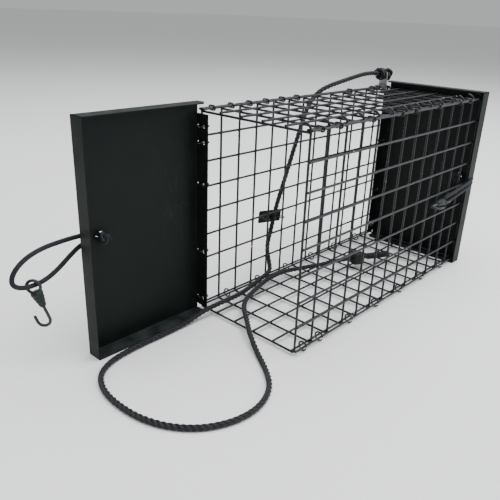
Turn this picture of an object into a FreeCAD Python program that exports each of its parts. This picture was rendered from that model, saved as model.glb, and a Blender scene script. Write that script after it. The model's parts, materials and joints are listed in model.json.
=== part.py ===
"""Live catch trap: a welded wire cage with a hinged sheet-metal door at each end.

Every place below is in the cage's own frame, in millimetres: X along the cage from its open end, Y from the
near side to the hinge side, Z up from the floor wires. The last step moves the whole trap so that its origin is
the middle of the surface that it stands on.
"""

import FreeCAD, Part
import math
import os

V = FreeCAD.Vector

# Cage
CELL = 25.4
CELLS_LONG = 13
CELLS_HIGH = 8
CELLS_DEEP = 5
WIRE_R = 1.1
LAYER = 1.95  # between the axes of two crossing wires, so that each weld sinks in a little
EDGE_INSET = 2.4  # floor and top panels fit between the two side panels
TOP_BEND_R = 6.0  # the near panel's upright wires bend over the top edge
TOP_BEND_DROP = 0.8
LENGTH = CELLS_LONG * CELL
WIDTH = CELLS_DEEP * CELL
HEIGHT = CELLS_HIGH * CELL

# Rings that clip the panels together
CLIP_R = 4.3
CLIP_WIRE_R = 0.8
CLIP_ARC = 325
CLIP_INSET = 0.2
TOP_CLIP_HALF = 2.2  # the clips along the top are squeezed flat round their two wires
TOP_CLIP_R = 2.1
TOP_CLIP_GAP = 0.6
FOOT_Z = -CLIP_R - CLIP_WIRE_R  # the trap stands on its lower clips

# Door trays, as closed: x is measured from the hinge wire into the cage
SHEET = 1.0
DOOR_FACE = -5.0
FLANGE_RIM = 11.5
DOOR_NEAR = -WIDTH - 6.2
DOOR_HINGE_EDGE = -2.5
DOOR_LOW = -4.9
DOOR_HIGH = HEIGHT + 7.5
BEND_R = 1.6
SEAM = 0.8
HINGE_FLANGE_LOW = 1.6  # the hinge-side flange stands between the floor and top wires
HINGE_FLANGE_HIGH = HEIGHT - 3.6
RIM_CHAMFER = 4.0

# Hinge rings
RING_R = 4.8
RING_WIRE_R = 0.8
RING_OFFSET = 2.4
RING_HOLE_R = 1.6
RING_HEIGHTS = [cells * CELL for cells in (0.4, 2.45, 5.2, 6.8, 7.4)]

# Elastic cords, their hooks and knots
BUNGEE_R = 2.0
BUNGEE_HOLE_R = 4.6
BUNGEE_HOLE_FROM_HINGE = 114.0
BUNGEE_Z = 105.0
STRAND = 2.2
KNOT_R = 5.2
HOOK_WIRE_R = 1.3
HOOK_EYE_R = 5.6
HOOK_SHANK = 30.0
HOOK_BEND_R = 5.5
HOOK_TIP = 4.5
SLEEVE_TOP = -7.2
SLEEVE_LOW = -18.5
SLEEVE_R_TOP = 4.4
SLEEVE_R_LOW = 2.4
LEFT_HOOK_TURN = -47.0
LEFT_HOOK_LEAN = -20.0
HELD_CELL = 9  # the upright wire that the right hook holds

# Rope
ROPE_R = 2.75
ROPE_KNOT_R = 7.0
TAB_X = 307.0
TAB_LONG = 10.0
TAB_SHEET = 1.2
TAB_HOLE_Z = HEIGHT + 15.0
TAB_MID_Y = WIDTH - 0.2
BLOCK_HALF = 7.0
BLOCK_LONG = 15.0
WHIP_R = 4.0
WHIP_LONG = 34.0
ROPE_FIT = 0.3

# Plate that keeps the rope against the outside of the back panel
KEEPER = (38.0, 1.4, 14.0)
KEEPER_MID = (116.0, WIDTH + 9.9, 69.0)
KEEPER_TILT = 8.0
TIE_R = 2.4
TIE_WIRE_R = 0.6

parts = {}
cord_parts = set()


def add(name, shape, on_cord=False):
    parts[name] = shape
    if on_cord:
        cord_parts.add(name)


def rod(start, end, radius):
    line = V(*end) - V(*start)
    return Part.makeCylinder(radius, line.Length, V(*start), line)


def box(low, high):
    size = V(*high) - V(*low)
    return Part.makeBox(size.x, size.y, size.z, V(*low))


def steps(count):
    return [i * CELL for i in range(count + 1)]


def weld(wires):
    fused = wires[0].multiFuse(wires[1:])
    return fused.Solids[0]


def turned(shape, degrees, axis, centre=(0, 0, 0)):
    result = shape.copy()
    result.rotate(V(*centre), V(*axis), degrees)
    return result


def moved(shape, x, y, z):
    result = shape.copy()
    result.translate(V(x, y, z))
    return result


# ---- wire panels ----


def back_panel():
    end = WIRE_R
    uprights = [rod((x, WIDTH, -end), (x, WIDTH, HEIGHT + end), WIRE_R) for x in steps(CELLS_LONG)]
    y = WIDTH + LAYER
    rails = [rod((-end, y, z), (LENGTH + end, y, z), WIRE_R) for z in steps(CELLS_HIGH)]
    return weld(uprights + rails)


def bent_upright(x):
    """An upright of the near panel, bent over the top edge towards the back."""
    spring = HEIGHT - TOP_BEND_DROP
    start = V(x, 0, -WIRE_R)
    low = V(x, 0, spring)
    middle = V(x, TOP_BEND_R * (1 - math.cos(math.pi / 4)), spring + TOP_BEND_R * math.sin(math.pi / 4))
    top = V(x, TOP_BEND_R, spring + TOP_BEND_R)
    path = Part.Wire([Part.makeLine(start, low), Part.Arc(low, middle, top).toShape()])
    section = Part.Wire(Part.makeCircle(WIRE_R, start, V(0, 0, 1)))
    return path.makePipeShell([section], True, False)


def near_panel():
    uprights = [bent_upright(x) for x in steps(CELLS_LONG)]
    end = WIRE_R
    rails = [rod((-end, -LAYER, z), (LENGTH + end, -LAYER, z), WIRE_R) for z in steps(CELLS_HIGH)]
    return weld(uprights + rails)


def flat_panel(z):
    """The floor or the top: long wires at z with the cross wires under them."""
    end = WIRE_R
    rows = steps(CELLS_DEEP)
    rows[0] += EDGE_INSET
    rows[-1] -= EDGE_INSET
    rails = [rod((-end, y, z), (LENGTH + end, y, z), WIRE_R) for y in rows]
    low, high = rows[0] - end, rows[-1] + end
    cross = [rod((x, low, z - LAYER), (x, high, z - LAYER), WIRE_R) for x in steps(CELLS_LONG)]
    return weld(rails + cross)


def clips(y, z, gap_angle, cells):
    """Open rings round the two edge wires of neighbouring panels, each in the middle of a cell."""
    rings = []
    for cell in cells:
        ring = Part.makeTorus(CLIP_R, CLIP_WIRE_R, V(0, 0, 0), V(0, 0, 1), -180, 180, CLIP_ARC)
        ring = turned(ring, 90, (0, 1, 0))
        ring = turned(ring, gap_angle, (1, 0, 0))
        rings.append(moved(ring, (cell + 0.5) * CELL, y, z))
    return Part.makeCompound(rings)


def top_clips(y, cells):
    """Clips squeezed flat round the two edge wires, their ends meeting underneath."""
    half, r, gap = TOP_CLIP_HALF, TOP_CLIP_R, TOP_CLIP_GAP
    edges = [
        Part.makeLine(V(0, gap, -r), V(0, half, -r)),
        Part.Arc(V(0, half, -r), V(0, half + r, 0), V(0, half, r)).toShape(),
        Part.makeLine(V(0, half, r), V(0, -half, r)),
        Part.Arc(V(0, -half, r), V(0, -half - r, 0), V(0, -half, -r)).toShape(),
        Part.makeLine(V(0, -half, -r), V(0, -gap, -r)),
    ]
    section = Part.Wire(Part.makeCircle(CLIP_WIRE_R, V(0, gap, -r), V(0, 1, 0)))
    clip = Part.Wire(edges).makePipeShell([section], True, False)
    return Part.makeCompound([moved(clip, (cell + 0.5) * CELL, y, HEIGHT) for cell in cells])


# ---- doors ----


def near_corner_slot(z, slope):
    """The open seam between two flanges at a corner of the free edge."""
    slot = box((DOOR_FACE + BEND_R, -6, -SEAM / 2), (FLANGE_RIM + 1, 6, SEAM / 2))
    slot = turned(slot, slope, (1, 0, 0))
    return moved(slot, 0, DOOR_NEAR, z)


def door_tray():
    """A folded sheet with a flange on each side, the hinge wire at the origin and the cage towards +x."""
    outer = box((DOOR_FACE, DOOR_NEAR, DOOR_LOW), (FLANGE_RIM, DOOR_HINGE_EDGE, DOOR_HIGH))
    folds = [e for e in outer.Edges if all(abs(v.X - DOOR_FACE) < 0.01 for v in e.Vertexes)]
    outer = outer.makeFillet(BEND_R, folds)
    inside = DOOR_FACE + SHEET
    low = (inside, DOOR_NEAR + SHEET, DOOR_LOW + SHEET)
    high = (FLANGE_RIM + 1, DOOR_HINGE_EDGE - SHEET, DOOR_HIGH - SHEET)
    inner = box(low, high)
    folds = [e for e in inner.Edges if all(abs(v.X - inside) < 0.01 for v in e.Vertexes)]
    inner = inner.makeFillet(BEND_R - SHEET, folds)

    cuts = [inner, near_corner_slot(DOOR_LOW, 45), near_corner_slot(DOOR_HIGH, -45)]
    flange_low = DOOR_HINGE_EDGE - SHEET - 0.1
    for low_z, high_z in (
        (DOOR_LOW + SHEET, HINGE_FLANGE_LOW),
        (HINGE_FLANGE_HIGH, DOOR_HIGH - SHEET),
    ):
        cuts.append(box((inside + 0.6, flange_low, low_z), (FLANGE_RIM + 1, DOOR_HINGE_EDGE + 1, high_z)))
    corner = box((-RIM_CHAMFER, -RIM_CHAMFER, DOOR_LOW - 1), (RIM_CHAMFER, RIM_CHAMFER, DOOR_HIGH + 1))
    trimmed = moved(turned(corner, 45, (0, 0, 1)), FLANGE_RIM, DOOR_HINGE_EDGE, 0)
    keep = box((-10, -10, HINGE_FLANGE_LOW), (20, 1, HINGE_FLANGE_HIGH))
    cuts.append(trimmed.cut(keep))
    hole_at = V(DOOR_FACE - 1, -BUNGEE_HOLE_FROM_HINGE, BUNGEE_Z)
    cuts.append(Part.makeCylinder(BUNGEE_HOLE_R, 4, hole_at, V(1, 0, 0)))
    reach = math.sqrt(RING_R**2 - (DOOR_HINGE_EDGE - SHEET / 2) ** 2)
    for z in RING_HEIGHTS:
        for x in (RING_OFFSET - reach, RING_OFFSET + reach):
            cuts.append(Part.makeCylinder(RING_HOLE_R, 4, V(x, DOOR_HINGE_EDGE - 3, z), V(0, 1, 0)))
    return outer.cut(cuts).Solids[0]


def hinge_rings():
    rings = []
    for z in RING_HEIGHTS:
        ring = Part.makeTorus(RING_R, RING_WIRE_R, V(0, 0, 0), V(0, 0, 1), -180, 180, CLIP_ARC)
        ring = turned(ring, 110, (0, 0, 1))
        rings.append(moved(ring, RING_OFFSET, 0, z))
    return Part.makeCompound(rings)


def open_left(shape):
    return moved(turned(shape, -90, (0, 0, 1)), 0, WIDTH, 0)


def closed_right(shape):
    return moved(shape.mirror(V(0, 0, 0), V(1, 0, 0)), LENGTH, WIDTH, 0)


# ---- hooks and cords ----


def hook():
    """The eye's middle at the origin, the shank down -z and the tip on the -x side."""
    eye = Part.makeTorus(HOOK_EYE_R, HOOK_WIRE_R, V(0, 0, 0), V(0, 1, 0))
    start = V(0, 0, -HOOK_EYE_R)
    low = V(0, 0, -HOOK_SHANK)
    bottom = V(-HOOK_BEND_R, 0, -HOOK_SHANK - HOOK_BEND_R)
    far = V(-2 * HOOK_BEND_R, 0, -HOOK_SHANK)
    tip = V(-2 * HOOK_BEND_R, 0, -HOOK_SHANK + HOOK_TIP)
    edges = [Part.makeLine(start, low), Part.Arc(low, bottom, far).toShape(), Part.makeLine(far, tip)]
    section = Part.Wire(Part.makeCircle(HOOK_WIRE_R, start, V(0, 0, 1)))
    bent = Part.Wire(edges).makePipeShell([section], True, False)
    end = Part.makeSphere(HOOK_WIRE_R, tip)
    return weld([bent, eye, end])


def hook_sleeve():
    """A tapered grip moulded on the top of the shank."""
    long = SLEEVE_TOP - SLEEVE_LOW
    cone = Part.makeCone(SLEEVE_R_LOW, SLEEVE_R_TOP, long, V(0, 0, SLEEVE_LOW))
    bore = Part.makeCylinder(HOOK_WIRE_R + 0.05, long + 2, V(0, 0, SLEEVE_LOW - 1))
    return cone.cut(bore)


def fillet_radius(before, point, after, limit):
    """The largest tangent arc that two runs allow, or the size of the thing that a tight cord goes round."""
    a, b = before - point, after - point
    half_turn = (math.pi - a.getAngle(b)) / 2
    largest = 0.45 * min(a.Length, b.Length) / math.tan(half_turn)
    return min(largest, limit or largest), half_turn


def cord_edges(name, route, limits=None):
    """Straight runs joined by tangent arcs along a route of points."""
    points = [V(*p) for p in route]
    limits = limits or {}
    edges, radii, at = [], [], points[0]
    for i in range(1, len(points) - 1):
        point = points[i]
        radius, half_turn = fillet_radius(points[i - 1], point, points[i + 1], limits.get(i))
        radii.append(radius)
        back, on = (points[i - 1] - point), (points[i + 1] - point)
        back.normalize()
        on.normalize()
        reach = radius * math.tan(half_turn)
        start, end = point + back * reach, point + on * reach
        inwards = back + on
        inwards.normalize()
        middle = point + inwards * (radius / math.cos(half_turn) - radius)
        edges.append(Part.makeLine(at, start))
        edges.append(Part.Arc(start, middle, end).toShape())
        at = end
    edges.append(Part.makeLine(at, points[-1]))
    length = sum(e.Length for e in edges)
    print(f"{name}: {length:.0f} mm long, radii", " ".join(f"{r:.0f}" for r in radii))
    return edges


def tube(name, edges, radius):
    start = edges[0].valueAt(edges[0].FirstParameter)
    heading = edges[0].tangentAt(edges[0].FirstParameter)
    section = Part.Wire(Part.makeCircle(radius, start, heading))
    solid = Part.Wire(edges).makePipeShell([section], True, False)
    expected = math.pi * radius**2 * sum(e.Length for e in edges)
    print(f"{name}: volume is {solid.Volume / expected:.4f} of section times length")
    return solid


def halves(edge):
    """A straight run as two runs of half its length."""
    start, end = [v.Point for v in edge.Vertexes]
    middle = (start + end) * 0.5
    return Part.makeLine(start, middle), Part.makeLine(middle, end)


# ---- routes, each a list of points on the cord's middle line ----

TABLE_Z = FOOT_Z + ROPE_R + 0.05
FLOOR_Z = WIRE_R + ROPE_R + 0.4
TOP_Z = HEIGHT + 15.0

ROPE_ROUTE = [
    (323, TAB_MID_Y, TOP_Z),
    (300, 126.5, TOP_Z + 3),
    (274, 126, TOP_Z + 4),
    (248, 126, TOP_Z + 1),
    (223, 127, TOP_Z - 3),
    (203, 130, TOP_Z - 7),
    (187, 135, HEIGHT + 1),
    (173, 137, HEIGHT - 14),
    (161, 136, HEIGHT - 38),
    (148, 135, HEIGHT - 66),
    (135, 134, HEIGHT - 95),
    (122, 133.2, 80),
    (115, 133.1, 54),
    (111, 135.5, 31),
    (109.5, 128, 13),
    (103, 120.6, 8),
    (84, 118, 5.2),
    (64, 113.4, FLOOR_Z),
    (38, 107.4, FLOOR_Z + 0.4),
    (12, 107, FLOOR_Z + 1),
    (-14, 108.5, FLOOR_Z - 0.4),
    (-40, 109, TABLE_Z),
    (-70, 108.5, TABLE_Z),
    (-100, 108.5, TABLE_Z),
    (-128, 105, TABLE_Z),
    (-147, 94, TABLE_Z),
    (-157, 73, TABLE_Z),
    (-159, 49, TABLE_Z),
    (-156, 23, TABLE_Z),
    (-146, 0, TABLE_Z),
    (-128, -19, TABLE_Z),
    (-103, -30, TABLE_Z),
    (-77, -30, TABLE_Z),
    (-53.5, -18.5, TABLE_Z),
    (-37.5, 1.5, TABLE_Z),
    (-24.5, 23.7, TABLE_Z),
    (-12.5, 44.8, FLOOR_Z - 0.6),
    (4.5, 65, FLOOR_Z + 1),
    (20, 84.5, FLOOR_Z + 0.4),
    (38, 97.5, FLOOR_Z),
    (60, 104.3, FLOOR_Z),
    (79, 110.4, FLOOR_Z),
    (98, 114, FLOOR_Z),
    (121, 114, FLOOR_Z),
    (148, 104.5, FLOOR_Z),
    (172, 92.5, FLOOR_Z + 1.2),
    (192, 80.5, 9.9),
    (258, 56.5, 5.9),
]
LAID_FROM, LAID_TO = 20, 37  # the stretch that lies in the left door's way runs between these points

LEFT_HOOK_AT = (-177.0, 133.0, 77.3)
LEFT_BUNGEE_ROUTE = [
    (-BUNGEE_HOLE_FROM_HINGE, WIDTH - 2, BUNGEE_Z + STRAND),
    (-BUNGEE_HOLE_FROM_HINGE, WIDTH + 10, BUNGEE_Z + STRAND),
    (-131, 137, 108),
    (-148, 135, 108.5),
    (-166, 134, 107.5),
    (-182, 133.5, 102.5),
    (-192.5, 133, 93.5),
    (-194.5, 133, 84.5),
    (-188, 133, 79.2),
    (-177, 133, 78),
    (-165, 133, 80.2),
    (-153, 134, 86),
    (-142, 135.5, 93),
    (-130, 137, 99.5),
    (-BUNGEE_HOLE_FROM_HINGE, WIDTH + 10, BUNGEE_Z - STRAND),
    (-BUNGEE_HOLE_FROM_HINGE, WIDTH - 2, BUNGEE_Z - STRAND),
]

HOOK_LEVEL = 92.0
HELD_X = HELD_CELL * CELL
RIGHT_HOOK_X = HELD_X + HOOK_SHANK + HOOK_BEND_R - HOOK_WIRE_R - WIRE_R - 0.3
RIGHT_HOOK_Y = -HOOK_BEND_R
TURN_X = RIGHT_HOOK_X + HOOK_EYE_R - BUNGEE_R - HOOK_WIRE_R - 0.6
TURN = BUNGEE_R + HOOK_WIRE_R + 0.6
OUT_X = LENGTH - DOOR_FACE + BUNGEE_R + 1.0
OUT_Y = DOOR_NEAR + WIDTH - BUNGEE_R - 1.0
HOLE_Y = WIDTH - BUNGEE_HOLE_FROM_HINGE
RIGHT_BUNGEE_ROUTE = [
    (LENGTH - 2, HOLE_Y, BUNGEE_Z + STRAND),
    (OUT_X, HOLE_Y, BUNGEE_Z + STRAND),
    (OUT_X, OUT_Y, BUNGEE_Z + STRAND - 0.4),
    (TURN_X, RIGHT_HOOK_Y, HOOK_LEVEL + TURN),
    (TURN_X, RIGHT_HOOK_Y, HOOK_LEVEL - TURN - 1.2),
    (OUT_X, OUT_Y, BUNGEE_Z - STRAND - 0.4),
    (OUT_X, HOLE_Y, BUNGEE_Z - STRAND),
    (LENGTH - 2, HOLE_Y, BUNGEE_Z - STRAND),
]
CORNER_R = 4.0


# ---- rope fittings ----


def rope_tab():
    """A folded saddle over the two top wires of the back edge, with an ear that the rope is tied through."""
    low_y, high_y = TAB_MID_Y - 5.8, TAB_MID_Y + 5.4
    top = HEIGHT + 2.8
    end_x = TAB_X + TAB_LONG
    saddle = box((TAB_X, low_y, top - TAB_SHEET), (end_x, high_y, top))
    legs = [
        box((TAB_X, low_y, HEIGHT - 4), (end_x, low_y + TAB_SHEET, top)),
        box((TAB_X, high_y - TAB_SHEET, HEIGHT - 4), (end_x, high_y, top)),
    ]
    ear_x = end_x - TAB_SHEET
    ear = box((ear_x, low_y, top - TAB_SHEET), (end_x, high_y, TAB_HOLE_Z))
    ear_mid = (low_y + high_y) / 2
    round_r = (high_y - low_y) / 2
    crown = Part.makeCylinder(round_r, TAB_SHEET, V(ear_x, ear_mid, TAB_HOLE_Z), V(1, 0, 0))
    hole = Part.makeCylinder(ROPE_R + 0.5, 6, V(ear_x - 2, TAB_MID_Y, TAB_HOLE_Z + 0.8), V(1, 0, 0))
    return weld([saddle, *legs, ear, crown]).cut(hole)


def along_tail(distance):
    """A point on the rope's last straight run, and the run's heading."""
    start, end = V(*ROPE_ROUTE[-2]), V(*ROPE_ROUTE[-1])
    heading = end - start
    heading.normalize()
    return start + heading * distance, heading


def on_tail(shape, distance):
    """Turns a shape made along +x so that it lies along the rope's tail."""
    place, heading = along_tail(distance)
    level = math.degrees(math.asin(-heading.z))
    side = math.degrees(math.atan2(heading.y, heading.x))
    result = turned(turned(shape, level, (0, 1, 0)), side, (0, 0, 1))
    return moved(result, place.x, place.y, place.z)


def stop_block():
    half = BLOCK_LONG / 2
    block = box((-half, -BLOCK_HALF, -BLOCK_HALF), (half, BLOCK_HALF, BLOCK_HALF))
    block = block.makeChamfer(1.0, block.Edges)
    bore = Part.makeCylinder(ROPE_R + ROPE_FIT, BLOCK_LONG + 2, V(-half - 1, 0, 0), V(1, 0, 0))
    return on_tail(block.cut(bore), 22)


def whipping():
    """A wrapped sleeve on the rope's end."""
    sleeve = Part.makeCylinder(WHIP_R, WHIP_LONG, V(0, 0, 0), V(1, 0, 0))
    bore = Part.makeCylinder(ROPE_R + ROPE_FIT, WHIP_LONG - 1, V(-1, 0, 0), V(1, 0, 0))
    return on_tail(sleeve.cut(bore), V(*ROPE_ROUTE[-1]).sub(V(*ROPE_ROUTE[-2])).Length + 2.5 - WHIP_LONG)


def tie_loop(x, z):
    """A long loop round an upright of the back panel and out through two holes in the keeper."""
    far_y = KEEPER_MID[1] + KEEPER[1] / 2
    sides = [rod((x + across, WIDTH, z), (x + across, far_y, z), TIE_WIRE_R) for across in (-TIE_R, TIE_R)]
    bend = Part.makeTorus(TIE_R, TIE_WIRE_R, V(0, 0, 0), V(0, 0, 1), -180, 180, 180)
    ends = [moved(bend, x, far_y, z), moved(turned(bend, 180, (0, 0, 1)), x, WIDTH, z)]
    return weld(sides + ends)


def keeper_and_ties():
    """A plate outside the back panel, tied to two uprights, with room for the rope behind it."""
    long, thick, high = KEEPER
    x, y, z = KEEPER_MID
    plate = moved(Part.makeBox(long, thick, high), -long / 2, -thick / 2, -high / 2)
    plate = plate.makeFillet(1.5, [e for e in plate.Edges if abs(e.tangentAt(0).y) > 0.9])
    plate = moved(turned(plate, KEEPER_TILT, (0, 1, 0)), x, y, z)
    ties = []
    for wire_x in (4 * CELL, 5 * CELL):
        level = z - (wire_x - x) * math.tan(math.radians(KEEPER_TILT))
        ties.append(tie_loop(wire_x, level))
        for across in (-TIE_R, TIE_R):
            at = V(wire_x + across, y - 3, level)
            plate = plate.cut(Part.makeCylinder(TIE_WIRE_R * 2, 6, at, V(0, 1, 0)))
    return plate, Part.makeCompound(ties)


# ---- the whole trap ----


def build_cage():
    add("back_mesh", back_panel())
    add("near_mesh", near_panel())
    add("floor_mesh", flat_panel(0))
    add("top_mesh", flat_panel(HEIGHT))
    near, back = CLIP_INSET, WIDTH - CLIP_INSET
    add("top_near_clips", top_clips(near, (0, 1, 3, 5, 6, 8, 10, 11)))
    add("top_back_clips", top_clips(back, (0, 1, 2, 3, 4, 5, 9, 11)))
    add("floor_near_clips", clips(near, 0, -60, (0, 1, 3, 5, 7, 9, 11)))
    add("floor_back_clips", clips(back, 0, -120, (1, 3, 5, 7, 9, 11)))
    plate, ties = keeper_and_ties()
    add("keeper_plate", plate)
    add("keeper_ties", ties)


def build_doors():
    tray, rings = door_tray(), hinge_rings()
    knot = Part.makeSphere(KNOT_R, V(DOOR_FACE + SHEET + KNOT_R + 0.2, -BUNGEE_HOLE_FROM_HINGE, BUNGEE_Z))
    for side, place in (("left", open_left), ("right", closed_right)):
        add(f"{side}_door_tray", place(tray))
        add(f"{side}_hinge_rings", place(rings))
        add(f"{side}_bungee_knot", place(knot), on_cord=True)


def build_bungees():
    left = cord_edges("left bungee", LEFT_BUNGEE_ROUTE)
    add("left_bungee", tube("left bungee", left, BUNGEE_R), on_cord=True)
    right = cord_edges("right bungee", RIGHT_BUNGEE_ROUTE, {2: CORNER_R, 5: CORNER_R})
    add("right_bungee", tube("right bungee", right, BUNGEE_R), on_cord=True)
    for name, shape in (("hook", hook()), ("hook_sleeve", hook_sleeve())):
        leaning = turned(shape, LEFT_HOOK_LEAN, (0, 1, 0))
        hanging = moved(turned(leaning, LEFT_HOOK_TURN, (0, 0, 1)), *LEFT_HOOK_AT)
        add(f"left_{name}", hanging, on_cord=True)
        held = turned(turned(shape, 90, (0, 1, 0)), 90, (1, 0, 0))
        add(f"right_{name}", moved(held, RIGHT_HOOK_X, RIGHT_HOOK_Y, HOOK_LEVEL), on_cord=True)


def build_rope():
    edges = cord_edges("rope", ROPE_ROUTE)
    first, last = 2 * (LAID_FROM - 1), 2 * (LAID_TO - 0)
    out_a, out_b = halves(edges[first])
    in_a, in_b = halves(edges[last])
    stretches = {
        "rope_upper": edges[:first] + [out_a],
        "rope_laid": [out_b] + edges[first + 1 : last] + [in_a],
        "rope_tail": [in_b] + edges[last + 1 :],
    }
    for name, run in stretches.items():
        add(name, tube(name, run, ROPE_R), on_cord=True)
    knot_at = V(TAB_X + TAB_LONG + ROPE_KNOT_R + 0.3, TAB_MID_Y, TAB_HOLE_Z + 0.6)
    add("rope_knot", Part.makeSphere(ROPE_KNOT_R, knot_at), on_cord=True)
    add("rope_tab", rope_tab())
    add("rope_stop_block", stop_block(), on_cord=True)
    add("rope_whipping", whipping(), on_cord=True)


def to_standing_origin():
    """Moves every part so that the origin is the bottom centre of the trap without its cords."""
    own = [shape for name, shape in parts.items() if name not in cord_parts]
    bounds = Part.makeCompound(own).optimalBoundingBox(False, False)
    shift = V(-bounds.Center.x, -bounds.Center.y, -bounds.ZMin)
    for name, shape in parts.items():
        parts[name] = moved(shape, shift.x, shift.y, shift.z)
    print("origin shift", shift.x, shift.y, shift.z)
    print("size", bounds.XLength, bounds.YLength, bounds.ZLength)


build_cage()
build_doors()
build_bungees()
build_rope()
to_standing_origin()

os.makedirs("parts", exist_ok=True)
for name, shape in parts.items():
    shape.exportStep(f"parts/{name}.step")
print(len(parts), "nodes")
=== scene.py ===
"""Finish for the live catch trap: coated mesh, painted sheet doors, elastic cords with hooks, and the rope.

Places are in metres in the cage's own frame (X along the cage from its open end, Y from the near side to the
hinge side, Z up from the floor wires) and are shifted into the shared frame by at().
"""

import json
import math

import bmesh
import bpy
from mathutils import Matrix, Vector


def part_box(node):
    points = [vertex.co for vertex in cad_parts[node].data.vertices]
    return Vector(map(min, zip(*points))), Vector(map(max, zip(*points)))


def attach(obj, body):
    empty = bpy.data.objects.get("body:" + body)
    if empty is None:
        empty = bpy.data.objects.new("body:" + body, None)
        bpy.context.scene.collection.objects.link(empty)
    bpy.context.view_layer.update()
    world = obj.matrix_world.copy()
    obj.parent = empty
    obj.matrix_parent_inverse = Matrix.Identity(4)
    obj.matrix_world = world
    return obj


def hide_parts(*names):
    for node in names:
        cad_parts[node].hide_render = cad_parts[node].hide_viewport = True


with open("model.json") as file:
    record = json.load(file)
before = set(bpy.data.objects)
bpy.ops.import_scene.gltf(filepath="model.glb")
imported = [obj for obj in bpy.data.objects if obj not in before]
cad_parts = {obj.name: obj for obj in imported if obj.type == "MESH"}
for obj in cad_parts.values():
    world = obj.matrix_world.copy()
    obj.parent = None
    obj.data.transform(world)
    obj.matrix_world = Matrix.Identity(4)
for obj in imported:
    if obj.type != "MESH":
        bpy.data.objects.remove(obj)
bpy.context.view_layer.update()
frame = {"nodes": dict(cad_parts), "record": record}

# ---- driving sizes, in metres ----

CELL = 0.0254
CELLS_LONG, CELLS_DEEP, CELLS_HIGH = 13, 5, 8
LENGTH, WIDTH, HEIGHT = CELLS_LONG * CELL, CELLS_DEEP * CELL, CELLS_HIGH * CELL
WIRE_R = 0.0011
LAYER = 0.00195
EDGE_INSET = 0.0024
BEAD_R = 0.00138

ROPE_D = 0.0055
ROPE_LAY = 0.0155  # length of one full turn of a strand
BUNGEE_D = 0.004
BRAID_CARRIERS = 6
BRAID_SLANT = 260.0  # turns of the yarns, in radians for each metre of cord
KNOT_LAY = ROPE_LAY * 0.8
KNOT_ROPE_D = ROPE_D * 0.92
HITCH_ROPE_D = ROPE_D * 0.9
KNOT_CORD_R = BUNGEE_D * 0.42
TAIL_STEPS = 6
HITCH_TURNS = 2.2
HITCH_SAMPLES = 90
HITCH_R = 0.0053
HITCH_LONG = 0.0108
HITCH_FROM_KNOT = Vector((-0.0158, -0.0002, 0.0012))
WHIP_LONG = 0.034
WHIP_TWINE_R = 0.0006

FLOOR_LOW, FLOOR_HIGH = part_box("floor_mesh")
SHIFT = Vector((FLOOR_LOW[0] + WIRE_R, FLOOR_LOW[1] - EDGE_INSET + WIRE_R, FLOOR_HIGH[2] - WIRE_R))


def at(x, y, z):
    """A place in the cage's frame as a point of the shared frame."""
    return SHIFT + Vector((x, y, z))


# ---- cord routes: the points of each cord's middle line, in the cage's frame ----

TABLE_TOP = -0.0051
TABLE_Z = TABLE_TOP + ROPE_D / 2 + 0.00005  # the rope's middle where it lies on the table
FLOOR_Z = WIRE_R + ROPE_D / 2 + 0.0004  # the same on the cage's floor wires
TOP_Z = HEIGHT + 0.015
TAB_MID_Y = WIDTH - 0.0002

ROPE_ROUTE = [
    (0.323, TAB_MID_Y, TOP_Z),
    (0.3, 0.1265, TOP_Z + 0.003),
    (0.274, 0.126, TOP_Z + 0.004),
    (0.248, 0.126, TOP_Z + 0.001),
    (0.223, 0.127, TOP_Z - 0.003),
    (0.203, 0.13, TOP_Z - 0.007),
    (0.187, 0.135, HEIGHT + 0.001),
    (0.173, 0.137, HEIGHT - 0.014),
    (0.161, 0.136, HEIGHT - 0.038),
    (0.148, 0.135, HEIGHT - 0.066),
    (0.135, 0.134, HEIGHT - 0.095),
    (0.122, 0.1332, 0.08),
    (0.115, 0.1331, 0.054),
    (0.111, 0.1355, 0.031),
    (0.1095, 0.128, 0.013),
    (0.103, 0.1206, 0.008),
    (0.084, 0.118, 0.0052),
    (0.064, 0.1134, FLOOR_Z),
    (0.038, 0.1074, FLOOR_Z + 0.0004),
    (0.012, 0.107, FLOOR_Z + 0.001),
    (-0.014, 0.1085, FLOOR_Z - 0.0004),
    (-0.04, 0.109, TABLE_Z),
    (-0.07, 0.1085, TABLE_Z),
    (-0.1, 0.1085, TABLE_Z),
    (-0.128, 0.105, TABLE_Z),
    (-0.147, 0.094, TABLE_Z),
    (-0.157, 0.073, TABLE_Z),
    (-0.159, 0.049, TABLE_Z),
    (-0.156, 0.023, TABLE_Z),
    (-0.146, 0.0, TABLE_Z),
    (-0.128, -0.019, TABLE_Z),
    (-0.103, -0.03, TABLE_Z),
    (-0.077, -0.03, TABLE_Z),
    (-0.0535, -0.0185, TABLE_Z),
    (-0.0375, 0.0015, TABLE_Z),
    (-0.0245, 0.0237, TABLE_Z),
    (-0.0125, 0.0448, FLOOR_Z - 0.0006),
    (0.0045, 0.065, FLOOR_Z + 0.001),
    (0.02, 0.0845, FLOOR_Z + 0.0004),
    (0.038, 0.0975, FLOOR_Z),
    (0.06, 0.1043, FLOOR_Z),
    (0.079, 0.1104, FLOOR_Z),
    (0.098, 0.114, FLOOR_Z),
    (0.121, 0.114, FLOOR_Z),
    (0.148, 0.1045, FLOOR_Z),
    (0.172, 0.0925, FLOOR_Z + 0.0012),
    (0.192, 0.0805, 0.0099),
    (0.258, 0.0565, 0.0059),
]

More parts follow.
